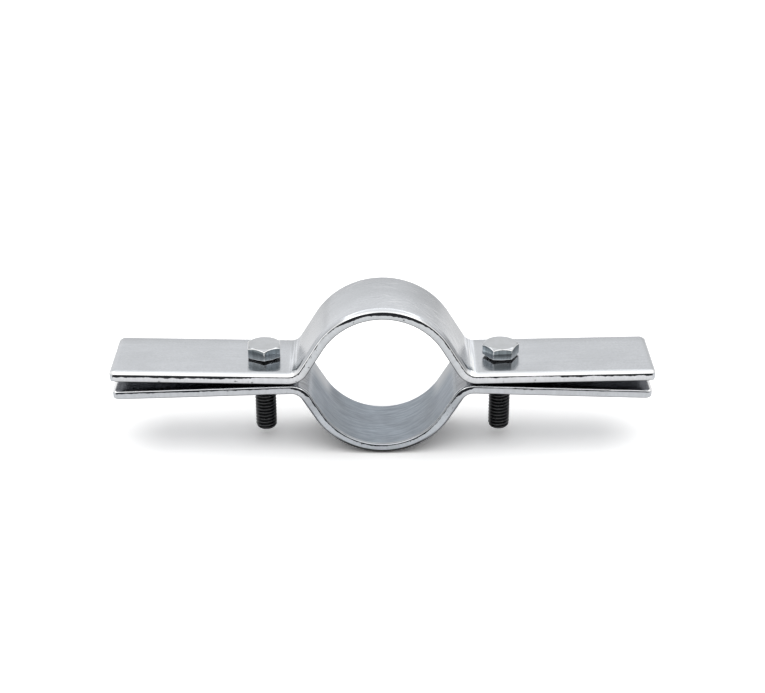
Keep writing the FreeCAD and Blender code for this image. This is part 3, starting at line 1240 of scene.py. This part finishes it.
def thread_tree():
    """A node tree that adds a threaded shank to a bolt's blank and puts the bolt in its place."""
    sizes = ("Shank Radius", "Pitch", "Depth", "Start", "Length", "Tip Length", "Tip Radius", "Across",
             "Seat Height", "Head Angle")
    tree, given = new_group("roll_thread", sizes, ("Turns",))
    run = given["Pitch"] * given["Turns"]
    grid = add_node(tree, "GeometryNodeMeshGrid", {
        "Size X": run, "Size Y": 2 * math.pi,
        "Vertices X": given["Turns"] * rows_per_turn + 1.0, "Vertices Y": around + 1})
    grid_x, grid_y, _ = split(position(tree))
    down = grid_x + run * 0.5
    angle = grid_y + math.pi

    height = angle / (2 * math.pi) * given["Pitch"] - down - given["Start"]
    height = smaller(height, given["Start"] * -1.0)
    height = larger(height, given["Length"] * -1.0)

    phase = calc("FRACT", down / given["Pitch"] + row_nudge)
    ridge = ramp(abs(phase - 0.5), root_half, crest_half, smooth=False)
    fade = clamped((height * -1.0 - given["Start"]) / given["Pitch"])
    radius = given["Shank Radius"] - opposite(ridge) * given["Depth"] * fade

    above_end = clamped((height + given["Length"]) / given["Tip Length"])
    round_off = calc("SQRT", opposite(calc("POWER", opposite(above_end), 2.0)))
    tip = given["Tip Radius"] + (given["Shank Radius"] - given["Tip Radius"]) * round_off
    radius = smaller(radius, tip)
    wrapped = combined(radius * calc("COSINE", angle), radius * calc("SINE", angle), height)
    thread = geometry_step(Value(grid.outputs["Mesh"]), "GeometryNodeSetPosition", {"Position": wrapped})

    disc = add_node(tree, "GeometryNodeMeshCircle", {"Vertices": around, "Radius": given["Tip Radius"]},
                    fill_type="NGON")
    end_cap = geometry_step(Value(disc.outputs[0]), "GeometryNodeTransform", {
        "Translation": combined(z=given["Length"] * -1.0), "Rotation": (math.pi, 0, 0)})
    join = add_node(tree, "GeometryNodeJoinGeometry")
    for source in (end_cap, thread, given["Geometry"]):
        feed(join.inputs[0], source)
    whole = Value(join.outputs[0])
    whole = geometry_step(whole, "GeometryNodeMergeByDistance", {"Distance": merge_distance})
    whole = keep_place(whole, "bolt_place")
    whole = geometry_step(whole, "GeometryNodeTransform", {
        "Translation": combined(x=given["Across"], z=given["Seat Height"]),
        "Rotation": combined(z=given["Head Angle"])})
    finish_group(whole, given["Material"])
    return tree


roll_thread = thread_tree()
print("roll_thread has", len(roll_thread.nodes), "nodes")

# %% [markdown]
# ## Bolt finish
#
# The heads are bright zinc, smoother than the straps because they were turned. The forged flats are darker
# and drawn with fine upright marks, with a painted reflection that makes them lighter low down. Their rims
# carry painted highlights, the cone at the corners a painted dark reflection, and the foot a painted
# shadow.
# The threads are black, painted paler on the crests as highlights and darker in the roots as shade. Which
# region a point has depends only on its height under the head and its distance from the axis, so one
# material reads the place that the thread's tree stored.

# %% Bright zinc heads
# Painted dark reflection on the cone, painted highlight on the rims, painted shadow under the foot.
cone_painted_reflection_tone = (0.14, 0.15, 0.16)
rim_painted_highlight_tone = (0.95, 0.95, 0.95)
under_foot_painted_shadow_tone = (0.02, 0.021, 0.023)
flat_light, flat_dark = (0.34, 0.37, 0.385), (0.17, 0.195, 0.21)
top_dark, top_light = (0.5, 0.515, 0.53), (0.56, 0.575, 0.595)


def head_zinc(place, height, from_axis, cloud):
    """Tone of a bolt's head, with its painted highlights, painted dark reflection and painted shadow."""
    cone = head_top * mm - chamfer_slope * larger(from_axis - head_top_radius * mm, 0.0)
    under_cone = cone - height
    foot = foot_start * mm + foot_slope * larger(from_axis - washer_face_radius * mm, 0.0)
    over_foot = height - foot
    on_cone = (ramp_mm(from_axis, head_top_radius + 0.05, head_top_radius + 0.3)
               * ramp_mm(under_cone, 0.02, 0.0))
    on_flat = (ramp_mm(from_axis, 6.9, 7.05) * ramp_mm(under_cone, 0.02, 0.06)
               * ramp_mm(over_foot, 0.0, 0.03))
    top_rim = (ramp_mm(from_axis, 6.85, 6.95) * ramp_mm(under_cone, 0.01, 0.03)
               * ramp_mm(under_cone, 0.24, 0.18))
    corner_rim = on_flat * ramp_mm(from_axis, 8.12, 8.17, 0.0, 0.7)
    foot_rim = on_flat * ramp_mm(over_foot, 0.2, 0.12)
    under_foot_painted_shadow = ramp_mm(over_foot, 0.02, -0.02) * ramp_mm(height, 1.6, 1.5)

    zinc = blend(vary(cloud), top_dark, top_light)
    # Painted reflection: the flats are lighter low down and darker towards the top.
    flat_tone_with_painted_reflection = blend(ramp_mm(height, 1.2, 4.2), flat_light, flat_dark)
    drawn = noise(place, (1300, 1300, 90), 3.0, 0.6)
    zinc = blend(on_flat, zinc, shaded(flat_tone_with_painted_reflection, vary(drawn, 0.78, 1.25)))
    # Painted dark reflection on the cone that cuts the corners.
    zinc = blend(on_cone * ramp_mm(from_axis, 7.2, 7.8, 0.1, 0.45), zinc, cone_painted_reflection_tone)
    # Painted highlights along the rims of the top, the foot and the corners.
    rims = larger(top_rim, larger(foot_rim, corner_rim) * 0.8)
    zinc = blend(rims, zinc, rim_painted_highlight_tone)
    # Painted shadow under the foot of the head.
    return blend(under_foot_painted_shadow, zinc, under_foot_painted_shadow_tone)


# %% Black threads, and the whole bolt's finish
black_dark, black_light = (0.042, 0.043, 0.044), (0.08, 0.081, 0.083)
turning_waves = 26000.0        # radians to the metre, for the rings on top of a head


def bolt_finish():
    """Material for a whole bolt."""
    material, shader = new_material("bolt_zinc_and_black")
    place, x, y, height = read_place(material, "bolt_place")
    from_axis = calc("SQRT", x * x + y * y)
    shank = ramp_mm(height, 0.4, 0.36)
    cloud = noise(place, (160, 160, 160), 4.0)
    fine = noise(place, (1400, 1400, 1400), 2.0)
    zinc = head_zinc(place, height, from_axis, cloud)
    black = blend(vary(fine), black_dark, black_light)
    # Painted highlight on the thread crests and painted shade in the roots.
    black = shaded(black, ramp_mm(from_axis, 4.1, 4.7, 0.35, 1.5))
    feed(shader.inputs["Base Color"], blend(shank, zinc, black))
    feed(shader.inputs["Roughness"], vary(cloud, 0.09, 0.15) + shank * 0.18)
    turned_marks = calc("SINE", from_axis * turning_waves) * ramp_mm(height, 5.85, 5.93)
    relief(shader, turned_marks * 0.2 + fine * 0.5, 0.25, 0.02 * mm)
    print(material.name, "has", len(material.node_tree.nodes), "nodes")
    return material


# %% [markdown]
# Both bolts come from one blank and one thread, and each is turned by the angle at which its head stands in
# the picture.

# %% Make both bolts
bolt_material = bolt_finish()
thread_turns = math.ceil((bolt_length - thread_start) / thread_pitch) + 1
for node, side, head_angle in (("left_bolt", -1, 33.4), ("right_bolt", 1, 3.9)):
    blank = bolt_blank("blank_of_" + node)
    run_tree(blank, roll_thread, {
        "Shank Radius": shank_radius * mm, "Pitch": thread_pitch * mm, "Depth": thread_depth * mm,
        "Start": thread_start * mm, "Length": bolt_length * mm, "Tip Length": tip_length * mm,
        "Tip Radius": tip_radius * mm, "Across": side * bolt_x * mm, "Seat Height": head_seat * mm,
        "Head Angle": math.radians(head_angle), "Turns": thread_turns, "Material": bolt_material})
    bolt = baked(blank, "threaded_" + node)
    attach(bolt, node)
    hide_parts(node)
    describe(bolt)
